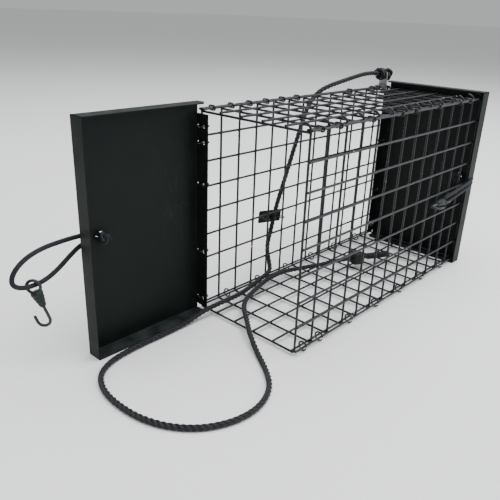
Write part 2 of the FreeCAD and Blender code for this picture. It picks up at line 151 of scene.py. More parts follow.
BUNGEE_Z = 0.105
STRAND = 0.0022  # from the middle of the door's hole to each strand's middle
HOLE_FROM_HINGE = 0.114
LEFT_BUNGEE_ROUTE = [
    (-HOLE_FROM_HINGE, WIDTH - 0.002, BUNGEE_Z + STRAND),
    (-HOLE_FROM_HINGE, WIDTH + 0.01, BUNGEE_Z + STRAND),
    (-0.131, 0.137, 0.108),
    (-0.148, 0.135, 0.1085),
    (-0.166, 0.134, 0.1075),
    (-0.182, 0.1335, 0.1025),
    (-0.1925, 0.133, 0.0935),
    (-0.1945, 0.133, 0.0845),
    (-0.188, 0.133, 0.0792),
    (-0.177, 0.133, 0.078),
    (-0.165, 0.133, 0.0802),
    (-0.153, 0.134, 0.086),
    (-0.142, 0.1355, 0.093),
    (-0.13, 0.137, 0.0995),
    (-HOLE_FROM_HINGE, WIDTH + 0.01, BUNGEE_Z - STRAND),
    (-HOLE_FROM_HINGE, WIDTH - 0.002, BUNGEE_Z - STRAND),
]

HOOK_EYE_R = 0.0056
HOOK_WIRE_R = 0.0013
HOOK_SHANK = 0.030
HOOK_BEND_R = 0.0055
HOOK_LEVEL = 0.092
HELD_X = 9 * CELL
RIGHT_HOOK_X = HELD_X + HOOK_SHANK + HOOK_BEND_R - HOOK_WIRE_R - WIRE_R - 0.0003
RIGHT_HOOK_Y = -HOOK_BEND_R
TURN = BUNGEE_D / 2 + HOOK_WIRE_R + 0.0006  # between the middles of the eye's wire and the cord
TURN_X = RIGHT_HOOK_X + HOOK_EYE_R - TURN
OUT_X = LENGTH + 0.005 + BUNGEE_D / 2 + 0.001
OUT_Y = -0.0062 - BUNGEE_D / 2 - 0.001
HOLE_Y = WIDTH - HOLE_FROM_HINGE
RIGHT_BUNGEE_ROUTE = [
    (LENGTH - 0.002, HOLE_Y, BUNGEE_Z + STRAND),
    (OUT_X, HOLE_Y, BUNGEE_Z + STRAND),
    (OUT_X, OUT_Y, BUNGEE_Z + STRAND - 0.0004),
    (TURN_X + 0.0071, RIGHT_HOOK_Y - 0.0002, HOOK_LEVEL + 0.0045),
    (TURN_X + 0.0035, RIGHT_HOOK_Y, HOOK_LEVEL + 0.00395),
    (TURN_X + 0.0003, RIGHT_HOOK_Y, HOOK_LEVEL + 0.00395),
    (TURN_X - 0.0020, RIGHT_HOOK_Y, HOOK_LEVEL + 0.00165),
    (TURN_X - 0.0020, RIGHT_HOOK_Y, HOOK_LEVEL - 0.00165),
    (TURN_X + 0.0003, RIGHT_HOOK_Y, HOOK_LEVEL - 0.00400),
    (TURN_X + 0.0035, RIGHT_HOOK_Y, HOOK_LEVEL - 0.00405),
    (TURN_X + 0.0071, RIGHT_HOOK_Y - 0.0002, HOOK_LEVEL - 0.00332),
    (OUT_X, OUT_Y, BUNGEE_Z - STRAND - 0.0004),
    (OUT_X, HOLE_Y, BUNGEE_Z - STRAND),
    (LENGTH - 0.002, HOLE_Y, BUNGEE_Z - STRAND),
]

LEFT_HOOK_TURN = -47.0
LEFT_HOOK_LEAN = -20.0
LEFT_HOOK = at(-0.177, 0.133, 0.0773)
RIGHT_HOOK = at(RIGHT_HOOK_X, RIGHT_HOOK_Y, HOOK_LEVEL)


# ---- camera, light and floor ----


def set_camera():
    """The view over the open end, from 0.29 m above the table."""
    heading, pitch, roll = math.radians(47.63), math.radians(-22.7), math.radians(2.2)
    reach = math.cos(pitch)
    forward = Vector((reach * math.sin(heading), reach * math.cos(heading), math.sin(pitch)))
    level = forward.cross(Vector((0, 0, 1))).normalized()
    rise = level.cross(forward)
    right = level * math.cos(roll) + rise * math.sin(roll)
    up = right.cross(forward)
    turn = Matrix((right, up, -forward)).transposed()
    lens = bpy.data.cameras.new("camera")
    lens.sensor_width = 36.0
    lens.lens = 41.1
    lens.clip_start = 0.01
    camera = bpy.data.objects.new("camera", lens)
    camera.matrix_world = Matrix.Translation(at(-0.3633, -0.2713, 0.2882)) @ turn.to_4x4()
    bpy.context.scene.collection.objects.link(camera)
    bpy.context.scene.camera = camera


def area_light(name, place, target, size, power, colour):
    light = bpy.data.lights.new(name, "AREA")
    light.shape = "RECTANGLE"
    light.size, light.size_y = size
    light.energy = power
    light.color = colour
    lamp = bpy.data.objects.new(name, light)
    aim = (Vector(target) - Vector(place)).to_track_quat("-Z", "Y")
    lamp.matrix_world = Matrix.Translation(place) @ aim.to_matrix().to_4x4()
    bpy.context.scene.collection.objects.link(lamp)


def set_light():
    world = bpy.data.worlds.new("studio")
    world.use_nodes = True
    background = world.node_tree.nodes["Background"]
    background.inputs["Color"].default_value = (0.80, 0.81, 0.82, 1)
    background.inputs["Strength"].default_value = 0.60
    bpy.context.scene.world = world
    middle = (0, 0, 0.1)
    area_light("window", (-1.1, 1.5, 1.5), middle, (1.6, 1.2), 6, (0.80, 0.90, 1.0))
    area_light("ceiling", (0.3, -0.2, 1.9), middle, (2.2, 2.2), 74, (0.98, 0.99, 1.0))
    area_light("side", (1.5, -1.3, 1.0), middle, (1.4, 1.0), 20, (0.90, 0.95, 1.0))


# ---- small helpers for node trees ----


def add_node(tree, kind, **values):
    """A new node, with its attributes set by name."""
    node = tree.nodes.new(kind)
    for key, value in values.items():
        setattr(node, key, value)
    return node


def feed(tree, node, **sockets):
    """Sets or links input sockets, by name with underscores for spaces, or by number as i0, i1 and so on."""
    for key, value in sockets.items():
        by_index = key[0] == "i" and key[1:].isdigit()
        socket = node.inputs[int(key[1:]) if by_index else key.replace("_", " ")]
        if isinstance(value, bpy.types.NodeSocket):
            tree.links.new(value, socket)
        else:
            socket.default_value = value
    return node


def maths(tree, operation, a, b=0.0, clamp=False):
    node = add_node(tree, "ShaderNodeMath", operation=operation, use_clamp=clamp)
    feed(tree, node, i0=a, i1=b)
    return node.outputs[0]


def ramp(tree, value, low, high, to_low=0.0, to_high=1.0):
    node = add_node(tree, "ShaderNodeMapRange", clamp=True)
    feed(tree, node, i0=value, i1=low, i2=high, i3=to_low, i4=to_high)
    return node.outputs[0]


def mix_colour(tree, mask, a, b):
    node = add_node(tree, "ShaderNodeMix", data_type="RGBA")
    feed(tree, node, i0=mask, i6=a, i7=b)
    return node.outputs[2]


def noise(tree, place, scale, detail=3.0, roughness=0.55):
    node = add_node(tree, "ShaderNodeTexNoise")
    feed(tree, node, Vector=place, Scale=scale, Detail=detail, Roughness=roughness)
    return node.outputs["Fac"]


def shader_group(name, inputs, outputs):
    """A shader node group with named sockets. Returns the tree and its two ends."""
    tree = bpy.data.node_groups.new(name, "ShaderNodeTree")
    for label, kind, value in inputs:
        socket = tree.interface.new_socket(label, in_out="INPUT", socket_type=kind)
        if value is not None:
            socket.default_value = value
    for label, kind in outputs:
        tree.interface.new_socket(label, in_out="OUTPUT", socket_type=kind)
    return tree, tree.nodes.new("NodeGroupInput"), tree.nodes.new("NodeGroupOutput")


FLOAT, VECTOR = "NodeSocketFloat", "NodeSocketVector"


def make_dust_and_top_light_group():
    """A mask for settled dust together with painted light from above: it covers faces that look up, in
    patches.
    """
    inputs = [("Place", VECTOR, None), ("Scale", FLOAT, 60.0), ("Amount", FLOAT, 0.5)]
    tree, start, end = shader_group("settled dust and painted top light", inputs, [("Mask", FLOAT)])
    facing = add_node(tree, "ShaderNodeSeparateXYZ")
    tree.links.new(add_node(tree, "ShaderNodeNewGeometry").outputs["Normal"], facing.inputs[0])
    # painted light from above, with settled dust: the mask grows as a face turns to look up
    upward = ramp(tree, facing.outputs[2], 0.25, 0.95)
    patches = ramp(tree, noise(tree, start.outputs["Place"], start.outputs["Scale"]), 0.3, 0.75)
    upward_patches = maths(tree, "MULTIPLY", upward, patches)
    mask = maths(tree, "MULTIPLY", upward_patches, start.outputs["Amount"], clamp=True)
    tree.links.new(mask, end.inputs["Mask"])
    return tree


def make_nick_group():
    """Small chips, each a nearly round speck, in a chosen share of the cells."""
    inputs = [("Place", VECTOR, None), ("Scale", FLOAT, 60.0), ("Size", FLOAT, 0.06), ("Share", FLOAT, 0.2)]
    tree, start, end = shader_group("paint nicks", inputs, [("Mask", FLOAT)])
    cells = add_node(tree, "ShaderNodeTexVoronoi", feature="F1")
    warp = noise(tree, start.outputs["Place"], 900.0, 2.0)
    feed(tree, cells, Vector=start.outputs["Place"], Scale=start.outputs["Scale"], Randomness=1.0)
    near = maths(tree, "ADD", cells.outputs["Distance"], maths(tree, "MULTIPLY", warp, 0.04))
    speck = maths(tree, "LESS_THAN", near, start.outputs["Size"])
    pick = add_node(tree, "ShaderNodeSeparateColor")
    tree.links.new(cells.outputs["Color"], pick.inputs[0])
    chosen = maths(tree, "LESS_THAN", pick.outputs[0], start.outputs["Share"])
    tree.links.new(maths(tree, "MULTIPLY", speck, chosen), end.inputs["Mask"])
    return tree


def make_scuff_group():
    """Fine scratches in some areas. A Mapping before the group draws them out along one direction."""
    inputs = [("Place", VECTOR, None), ("Scale", FLOAT, 400.0), ("Amount", FLOAT, 0.5)]
    tree, start, end = shader_group("scuffs", inputs, [("Mask", FLOAT)])
    fine = noise(tree, start.outputs["Place"], start.outputs["Scale"], 2.0)
    lines = ramp(tree, maths(tree, "ABSOLUTE", maths(tree, "SUBTRACT", fine, 0.5)), 0.0, 0.02, 1.0, 0.0)
    areas = ramp(tree, noise(tree, start.outputs["Place"], 14.0, 2.0), 0.5, 0.7)
    drawn = maths(tree, "MULTIPLY", lines, areas)
    mask = maths(tree, "MULTIPLY", drawn, start.outputs["Amount"], clamp=True)
    tree.links.new(mask, end.inputs["Mask"])
    return tree


def make_grain_group():
    """The fine unevenness of a sprayed or dipped coat."""
    inputs = [("Place", VECTOR, None), ("Fine", FLOAT, 900.0), ("Broad", FLOAT, 90.0), ("Share", FLOAT, 0.5)]
    tree, start, end = shader_group("coat grain", inputs, [("Height", FLOAT), ("Patch", FLOAT)])
    fine = noise(tree, start.outputs["Place"], start.outputs["Fine"], 2.0)
    broad = noise(tree, start.outputs["Place"], start.outputs["Broad"], 4.0)
    mixed = maths(tree, "ADD", maths(tree, "MULTIPLY", fine, start.outputs["Share"]), broad)
    tree.links.new(mixed, end.inputs["Height"])
    tree.links.new(broad, end.inputs["Patch"])
    return tree


DUST_AND_TOP_LIGHT, NICKS, SCUFFS, GRAIN = make_dust_and_top_light_group(), make_nick_group(), make_scuff_group(), make_grain_group()


def effect(tree, group, **sockets):
    node = tree.nodes.new("ShaderNodeGroup")
    node.node_tree = group
    return feed(tree, node, **sockets)


class Finish:
    """A material with its Principled shader, the object's own coordinates and a bump."""

    def __init__(self, name, **constants):
        self.material = bpy.data.materials.new(name)
        self.material.use_nodes = True
        self.tree = self.material.node_tree
        self.shader = self.tree.nodes["Principled BSDF"]
        self.place = self.tree.nodes.new("ShaderNodeTexCoord").outputs["Object"]
        self.uv = self.place.node.outputs["UV"]
        feed(self.tree, self.shader, **constants)

    def stretched(self, scale, source=None):
        node = add_node(self.tree, "ShaderNodeMapping")
        feed(self.tree, node, Vector=source or self.place, Scale=scale)
        return node.outputs[0]

    def uneven(self, pattern, low, high):
        """A roughness between two values that follows a pattern."""
        return ramp(self.tree, pattern, 0.3, 0.7, low, high)

    def bump(self, height, distance):
        node = add_node(self.tree, "ShaderNodeBump")
        feed(self.tree, node, Height=height, Distance=distance, Strength=1.0)
        feed(self.tree, self.shader, Normal=node.outputs[0])


# ---- finishes ----


def coated_wire():
    """Welded wire under a thin black coat, dull in places, with a pale blue-grey on top that is settled dust
    together with painted light from above.
    """
    f = Finish("coated wire", Specular_IOR_Level=0.3)
    grain = effect(f.tree, GRAIN, Place=f.place, Fine=1500.0, Broad=160.0, Share=0.4)
    dust_and_top_light = effect(f.tree, DUST_AND_TOP_LIGHT, Place=f.place, Scale=120.0, Amount=0.28).outputs[0]
    nicks = effect(f.tree, NICKS, Place=f.place, Scale=150.0, Size=0.22, Share=0.035).outputs[0]
    patch = grain.outputs["Patch"]
    base = mix_colour(f.tree, patch, (0.0035, 0.0040, 0.0050, 1), (0.010, 0.011, 0.0135, 1))
    # painted light from above, with settled dust: faces that look up are mixed towards a pale blue-grey
    dusty_and_top_lit = mix_colour(f.tree, dust_and_top_light, base, (0.07, 0.075, 0.09, 1))
    colour = mix_colour(f.tree, nicks, dusty_and_top_lit, (0.34, 0.34, 0.33, 1))
    feed(f.tree, f.shader, Base_Color=colour, Roughness=f.uneven(patch, 0.22, 0.42))
    f.bump(grain.outputs["Height"], 0.00012)
    return f.material


def door_paint():
    """Satin black sprayed on sheet steel, with faint mottling, hairline scuffs and a few bright chips."""
    f = Finish("door paint", Specular_IOR_Level=0.14)
    grain = effect(f.tree, GRAIN, Place=f.place, Fine=1100.0, Broad=34.0, Share=0.35)
    scuffs = effect(f.tree, SCUFFS, Place=f.stretched((1.0, 1.0, 0.18)), Scale=190.0, Amount=0.5).outputs[0]
    nicks = effect(f.tree, NICKS, Place=f.place, Scale=34.0, Size=0.055, Share=0.13).outputs[0]
    dust_and_top_light = effect(f.tree, DUST_AND_TOP_LIGHT, Place=f.place, Scale=70.0, Amount=0.3).outputs[0]
    patch = grain.outputs["Patch"]
    base = mix_colour(f.tree, patch, (0.0030, 0.0048, 0.0042, 1), (0.0085, 0.0125, 0.0110, 1))
    scuffed = mix_colour(f.tree, scuffs, base, (0.030, 0.036, 0.034, 1))
    # painted light from above, with settled dust: faces that look up are mixed towards a pale blue-grey
    dusty_and_top_lit = mix_colour(f.tree, dust_and_top_light, scuffed, (0.09, 0.10, 0.115, 1))
    colour = mix_colour(f.tree, nicks, dusty_and_top_lit, (0.62, 0.62, 0.58, 1))
    rough = maths(f.tree, "ADD", f.uneven(patch, 0.46, 0.60), maths(f.tree, "MULTIPLY", scuffs, 0.2))
    feed(f.tree, f.shader, Base_Color=colour, Roughness=rough)
    f.bump(grain.outputs["Height"], 0.00016)
    return f.material


def ring_wire():
    """Clip and ring wire: black, with the coat cracked off where it was squeezed."""
    f = Finish("ring wire", Specular_IOR_Level=0.4)
    grain = effect(f.tree, GRAIN, Place=f.place, Fine=1800.0, Broad=420.0, Share=0.4)
    worn = ramp(f.tree, grain.outputs["Patch"], 0.60, 0.66)
    colour = mix_colour(f.tree, worn, (0.006, 0.007, 0.009, 1), (0.26, 0.27, 0.29, 1))
    feed(f.tree, f.shader, Base_Color=colour, Metallic=maths(f.tree, "MULTIPLY", worn, 0.9), Roughness=0.34)
    f.bump(grain.outputs["Height"], 0.0001)
    return f.material


def hook_metal():
    """Dark plated hook wire with light rubbing."""
    f = Finish("hook metal", Specular_IOR_Level=0.5)
    grain = effect(f.tree, GRAIN, Place=f.place, Fine=2200.0, Broad=300.0, Share=0.5)
    rubbed = ramp(f.tree, grain.outputs["Patch"], 0.5, 0.68, 0.0, 0.6)
    colour = mix_colour(f.tree, rubbed, (0.008, 0.010, 0.010, 1), (0.06, 0.065, 0.068, 1))
    rough = f.uneven(grain.outputs["Patch"], 0.3, 0.46)
    feed(f.tree, f.shader, Base_Color=colour, Metallic=rubbed, Roughness=rough)
    f.bump(grain.outputs["Height"], 0.00008)
    return f.material


def moulded_plastic(name, dark, light, middle_rough):
    """Matt moulded plastic with handling shine."""
    f = Finish(name, Specular_IOR_Level=0.3)
    grain = effect(f.tree, GRAIN, Place=f.place, Fine=2600.0, Broad=180.0, Share=0.6)
    scuffs = effect(f.tree, SCUFFS, Place=f.place, Scale=520.0, Amount=0.5).outputs[0]
    base = mix_colour(f.tree, grain.outputs["Patch"], dark, light)
    pale = tuple(min(1.0, c * 3 + 0.03) for c in light[:3]) + (1,)
    colour = mix_colour(f.tree, scuffs, base, pale)
    rough = f.uneven(grain.outputs["Patch"], middle_rough - 0.08, middle_rough + 0.08)
    feed(f.tree, f.shader, Base_Color=colour, Roughness=rough)
    f.bump(grain.outputs["Height"], 0.0001)
    return f.material


def rope_fibre():
    """Twisted synthetic filaments: each strand is streaked along its own length."""
    f = Finish("rope fibre", Specular_IOR_Level=0.28, Sheen_Weight=0.03, Sheen_Roughness=0.4)
    f.shader.inputs["Sheen Tint"].default_value = (0.6, 0.65, 0.8, 1)
    streaks = noise(f.tree, f.stretched((26.0, 120.0, 1.0), f.uv), 1.0, 2.0)
    hairs = noise(f.tree, f.stretched((70.0, 420.0, 1.0), f.uv), 1.0, 2.0)
    patches = noise(f.tree, f.place, 70.0)
    streaked = ramp(f.tree, streaks, 0.35, 0.7)
    dark = mix_colour(f.tree, streaked, (0.0030, 0.0033, 0.0042, 1), (0.016, 0.017, 0.021, 1))
    worn = ramp(f.tree, patches, 0.55, 0.8, 0.0, 0.4)
    colour = mix_colour(f.tree, worn, dark, (0.034, 0.036, 0.042, 1))
    feed(f.tree, f.shader, Base_Color=colour, Roughness=f.uneven(streaks, 0.36, 0.56))
    f.bump(maths(f.tree, "ADD", streaks, maths(f.tree, "MULTIPLY", hairs, 0.6)), 0.00022)
    return f.material


def bungee_cover():
    """Braided elastic cover: two sets of slanted yarns, a few flecks lighter."""
    f = Finish("bungee cover", Specular_IOR_Level=0.25, Sheen_Weight=0.03, Sheen_Roughness=0.5)
    f.shader.inputs["Sheen Tint"].default_value = (0.62, 0.62, 0.75, 1)
    yarns = noise(f.tree, f.stretched((46.0, 900.0, 1.0), f.uv), 1.0, 2.0)
    patches = noise(f.tree, f.place, 240.0)
    base = mix_colour(f.tree, yarns, (0.0045, 0.0055, 0.0070, 1), (0.018, 0.021, 0.026, 1))
    worn = ramp(f.tree, patches, 0.55, 0.75, 0.0, 0.5)
    colour = mix_colour(f.tree, worn, base, (0.034, 0.040, 0.045, 1))
    feed(f.tree, f.shader, Base_Color=colour, Roughness=f.uneven(yarns, 0.6, 0.82))
    f.bump(yarns, 0.00012)
    return f.material


def zinc_steel():
    """Dull grey plated steel with cloudy patches and scratches."""
    f = Finish("zinc steel", Metallic=0.75, Specular_IOR_Level=0.5)
    grain = effect(f.tree, GRAIN, Place=f.place, Fine=900.0, Broad=210.0, Share=0.4)
    scuffs = effect(f.tree, SCUFFS, Place=f.stretched((1.0, 1.0, 0.3)), Scale=800.0, Amount=0.8).outputs[0]
    base = mix_colour(f.tree, grain.outputs["Patch"], (0.16, 0.17, 0.175, 1), (0.36, 0.37, 0.375, 1))
    colour = mix_colour(f.tree, scuffs, base, (0.55, 0.56, 0.56, 1))
    feed(f.tree, f.shader, Base_Color=colour, Roughness=f.uneven(grain.outputs["Patch"], 0.36, 0.56))
    f.bump(grain.outputs["Height"], 0.0001)
    return f.material


def pale_floor():
    """A plain pale surface, a little uneven in tone."""
    f = Finish("pale floor", Roughness=0.62, Specular_IOR_Level=0.3)
    soft = noise(f.tree, f.place, 3.0)
    colour = mix_colour(f.tree, soft, (0.86, 0.86, 0.85, 1), (0.89, 0.89, 0.88, 1))
    feed(f.tree, f.shader, Base_Color=colour)
    return f.material


WIRE, PAINT, RING, HOOK = coated_wire(), door_paint(), ring_wire(), hook_metal()
SLEEVE = moulded_plastic("sleeve plastic", (0.005, 0.011, 0.009, 1), (0.011, 0.020, 0.017, 1), 0.5)
BLOCK = moulded_plastic("block plastic", (0.006, 0.006, 0.0055, 1), (0.013, 0.013, 0.012, 1), 0.6)
TWINE = moulded_plastic("waxed twine", (0.005, 0.0055, 0.0065, 1), (0.014, 0.015, 0.017, 1), 0.5)
ROPE, BUNGEE, ZINC = rope_fibre(), bungee_cover(), zinc_steel()

CAD_FINISH = {
    "mesh_wire": WIRE,
    "clip_wire": RING,
    "door_sheet": PAINT,
    "keeper_plate": PAINT,
    "hook_wire": HOOK,
    "hook_sleeve": SLEEVE,
    "bungee_cord": BUNGEE,
    "rope": ROPE,
    "tab_steel": ZINC,
    "stop_block": BLOCK,
    "rope_whipping": TWINE,
}


def finish_cad_nodes():
    """Every piece carried over from the solid model takes the finish of its slot."""
    for part in frame["record"]["subparts"]:
        node = frame["nodes"][part["node"]]
        for holder in node.material_slots:
            holder.material = CAD_FINISH[part["material_slot"]]


# ---- mesh building ----


def add_piece(name, mesh, material, body):
    mesh.name = name
    mesh.materials.clear()
    mesh.materials.append(material)
    piece = bpy.data.objects.new(name, mesh)
    bpy.context.scene.collection.objects.link(piece)
    for face in mesh.polygons:
        face.use_smooth = True
    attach(piece, body)
    return piece


def frames_along(points, closed=False):
    """Tangent, normal and side at each point, turned as little as possible from one to the next."""
    count = len(points)
    tangents = []
    for i in range(count):
        before = points[(i - 1) % count] if closed or i else points[0]
        after = points[(i + 1) % count] if closed or i < count - 1 else points[-1]
        tangents.append((after - before).normalized())
    normal = tangents[0].orthogonal().normalized()
    result = []
    for i, tangent in enumerate(tangents):
        if i:
            normal = tangents[i - 1].rotation_difference(tangent) @ normal
        normal = (normal - tangent * normal.dot(tangent)).normalized()
        result.append((tangent, normal, tangent.cross(normal)))
    return result


def evenly(points, step):
    """The same line with its points a step apart."""
    marks = [0.0]
    for a, b in zip(points, points[1:]):
        marks.append(marks[-1] + (b - a).length)
    count = max(2, round(marks[-1] / step))
    result, j = [], 0
    for i in range(count + 1):
        goal = marks[-1] * i / count
        while j < len(marks) - 2 and marks[j + 1] < goal:
            j += 1
        span = marks[j + 1] - marks[j]
        share = (goal - marks[j]) / span if span else 0
        result.append(points[j].lerp(points[j + 1], share))
    return result


def spline_points(name, route):
    """A route's smooth middle line: a NURBS curve of order 3 through its ends, read back as points."""
    curve = bpy.data.curves.new(name, "CURVE")
    curve.dimensions = "3D"
    curve.resolution_u = 16
    spline = curve.splines.new("NURBS")
    spline.points.add(len(route) - 1)
    for point, place in zip(spline.points, route):
        point.co = (*at(*place), 1)
    spline.order_u = 3
    spline.use_endpoint_u = True
    holder = bpy.data.objects.new(name, curve)
    bpy.context.scene.collection.objects.link(holder)
    bpy.context.view_layer.update()
    mesh = bpy.data.meshes.new_from_object(holder.evaluated_get(bpy.context.evaluated_depsgraph_get()))
    points = [v.co.copy() for v in mesh.vertices]
    bpy.data.objects.remove(holder)
    bpy.data.meshes.remove(mesh)
    return points


def sweep(bm, points, radius, sides, closed=False, shape=None):
    """A tube along points. Its UV runs once round, and along in metres.

    shape(turn, distance), where there is one, scales the radius.
    """
    uv = bm.loops.layers.uv.verify()
    rings, along = [], [0.0]
    for i in range(1, len(points)):
        along.append(along[-1] + (points[i] - points[i - 1]).length)
    frames = frames_along(points, closed)
    for point, (_, normal, side), distance in zip(points, frames, along):
        ring = []
        for k in range(sides):
            turn = 2 * math.pi * k / sides
            r = radius * (shape(turn, distance) if shape else 1)
            ring.append(bm.verts.new(point + (normal * math.cos(turn) + side * math.sin(turn)) * r))
        rings.append(ring)
    last = len(rings) if closed else len(rings) - 1
    offset = closing_offset(rings) if closed else 0
    for i in range(last):
        j = (i + 1) % len(rings)
        slip = offset if j == 0 else 0
        for k in range(sides):
            m = (k + 1) % sides
            on, on_next = rings[j][(k + slip) % sides], rings[j][(m + slip) % sides]
            face = bm.faces.new((rings[i][k], rings[i][m], on_next, on))
            high = along[i] if j == 0 else along[j]
            marks = ((k, along[i]), (k + 1, along[i]), (k + 1, high), (k, high))
            for loop, (u, v) in zip(face.loops, marks):
                loop[uv].uv = (u / sides, v)
    if not closed:
        bm.faces.new(list(reversed(rings[0])))
        bm.faces.new(rings[-1])


def closing_offset(rings):
    """How many places the first ring is turned against the last, so that a closed tube doesn't twist."""
    sides = len(rings[0])
    last = rings[-1][0].co
    return min(range(sides), key=lambda k: (rings[0][k].co - last).length)


def laid_strands(bm, points, diameter, lay, strands=3, sides=10):
    """Strands twisted round a line, as in a laid rope."""
    offset = diameter * 0.247
    radius = diameter * 0.253
    frames = frames_along(points)
    for strand in range(strands):
        line, distance = [], 0.0
        for i, (point, (_, normal, side)) in enumerate(zip(points, frames)):
            if i:
                distance += (point - points[i - 1]).length
            turn = 2 * math.pi * (distance / lay + strand / strands)
            line.append(point + (normal * math.cos(turn) + side * math.sin(turn)) * offset)
        sweep(bm, line, radius, sides)


def mesh_from(bm, name):
    bmesh.ops.recalc_face_normals(bm, faces=bm.faces)
    mesh = bpy.data.meshes.new(name)
    bm.to_mesh(mesh)
    bm.free()
    return mesh


def braid(carriers, slant):
    """The relief of a braided cover: slanted yarns of two hands that pass over each other in turn."""

    def relief(turn, distance):
        right = math.cos(carriers * (turn + slant * distance))
        left = math.cos(carriers * (turn - slant * distance))
        over = math.sin(carriers * turn) * math.sin(carriers * slant * distance)
        yarn = abs(right) if over > 0 else abs(left)
        return 0.945 + 0.07 * math.sqrt(yarn)

    return relief


def lathe(profile, sides=40):
    """A turned shape: (height, radius) pairs about the z axis, closed at the axis."""
    bm = bmesh.new()
    rings = []
    for height, radius in profile:
        if radius < 1e-7:
            rings.append([bm.verts.new((0, 0, height))])
            continue
        turns = [2 * math.pi * k / sides for k in range(sides)]
        rings.append([bm.verts.new((radius * math.cos(t), radius * math.sin(t), height)) for t in turns])
    for low, high in zip(rings, rings[1:]):
        for k in range(sides):
            m = (k + 1) % sides
            corners = [low[k % len(low)], low[m % len(low)], high[m % len(high)], high[k % len(high)]]
            unique = list(dict.fromkeys(corners))
            if len(unique) > 2:
                bm.faces.new(unique)
    return bm


# ---- geometry node trees ----


def geometry_tree(name, inputs):
    tree = bpy.data.node_groups.new(name, "GeometryNodeTree")
    for label, kind, value in inputs:
        socket = tree.interface.new_socket(label, in_out="INPUT", socket_type=kind)
        if value is not None:
            socket.default_value = value
    tree.interface.new_socket("Geometry", in_out="OUTPUT", socket_type="NodeSocketGeometry")
    return tree, tree.nodes.new("NodeGroupInput"), tree.nodes.new("NodeGroupOutput")


def finish_tree(tree, start, end, geometry):
    """Every tree ends by making its copies real and giving them their material."""
    real = tree.nodes.new("GeometryNodeRealizeInstances")
    tree.links.new(geometry, real.inputs[0])
    coat = tree.nodes.new("GeometryNodeSetMaterial")
    feed(tree, coat, Geometry=real.outputs[0], Material=start.outputs["Material"])
    tree.links.new(coat.outputs[0], end.inputs["Geometry"])
    return tree


def grow(tree, **values):
    """Runs a geometry tree with the given inputs and returns the result as a plain mesh."""
    holder = bpy.data.objects.new(tree.name, bpy.data.meshes.new(tree.name))
    bpy.context.scene.collection.objects.link(holder)
    modifier = holder.modifiers.new(tree.name, "NODES")
    modifier.node_group = tree
    inputs = [item for item in tree.interface.items_tree if item.in_out == "INPUT"]
    names = {item.name.replace(" ", "_"): item.identifier for item in inputs}
    for key, value in values.items():
        modifier[names[key]] = value
    bpy.context.view_layer.update()
    mesh = bpy.data.meshes.new_from_object(holder.evaluated_get(bpy.context.evaluated_depsgraph_get()))
    bpy.data.objects.remove(holder)
    return mesh


def bead_tree():
    """Weld beads at the crossings of a panel: a grid of squashed blobs, each a little different."""
    inputs = [
        ("Columns", "NodeSocketInt", 2),
        ("Rows", "NodeSocketInt", 2),
        ("Column Pitch", FLOAT, CELL),
        ("Row Pitch", FLOAT, CELL),
        ("Bead Radius", FLOAT, BEAD_R),
        ("Seed", "NodeSocketInt", 1),
        ("Material", "NodeSocketMaterial", None),
    ]
    tree, start, end = geometry_tree("weld beads", inputs)
    sockets = start.outputs
    spans = []
    for count, pitch in (("Columns", "Column Pitch"), ("Rows", "Row Pitch")):
        gaps = add_node(tree, "ShaderNodeMath", operation="SUBTRACT")
        feed(tree, gaps, i0=sockets[count], i1=1.0)
        span = add_node(tree, "ShaderNodeMath", operation="MULTIPLY")
        feed(tree, span, i0=gaps.outputs[0], i1=sockets[pitch])
        spans.append(span.outputs[0])
    grid = tree.nodes.new("GeometryNodeMeshGrid")
    feed(tree, grid, Size_X=spans[0], Size_Y=spans[1])
    feed(tree, grid, Vertices_X=sockets["Columns"], Vertices_Y=sockets["Rows"])
    blob = tree.nodes.new("GeometryNodeMeshIcoSphere")
    feed(tree, blob, Radius=sockets["Bead Radius"], Subdivisions=2)
    size = add_node(tree, "FunctionNodeRandomValue", data_type="FLOAT_VECTOR")
    feed(tree, size, Min=(0.88, 0.88, 0.8), Max=(1.12, 1.12, 1.0), Seed=sockets["Seed"])
    beads = tree.nodes.new("GeometryNodeInstanceOnPoints")
    feed(tree, beads, Points=grid.outputs["Mesh"], Instance=blob.outputs["Mesh"], Scale=size.outputs["Value"])
    return finish_tree(tree, start, end, beads.outputs[0])


def winding_tree():
    """Twine wound in close turns, as on a whipped rope end."""
    inputs = [
        ("Turns", FLOAT, 20.0),
        ("Winding Radius", FLOAT, 0.003),
        ("Winding Length", FLOAT, 0.02),
        ("Twine Radius", FLOAT, 0.0005),
        ("Material", "NodeSocketMaterial", None),
    ]
    tree, start, end = geometry_tree("twine winding", inputs)
    sockets = start.outputs
    turns = tree.nodes.new("GeometryNodeCurveSpiral")
    feed(tree, turns, Resolution=28, Rotations=sockets["Turns"], Height=sockets["Winding Length"])
    feed(tree, turns, Start_Radius=sockets["Winding Radius"], End_Radius=sockets["Winding Radius"])
    section = tree.nodes.new("GeometryNodeCurvePrimitiveCircle")
    feed(tree, section, Resolution=8, Radius=sockets["Twine Radius"])
    tube = tree.nodes.new("GeometryNodeCurveToMesh")
    feed(tree, tube, Curve=turns.outputs[0], Profile_Curve=section.outputs[0], Fill_Caps=True)
    return finish_tree(tree, start, end, tube.outputs[0])


# ---- the cage's weld beads ----


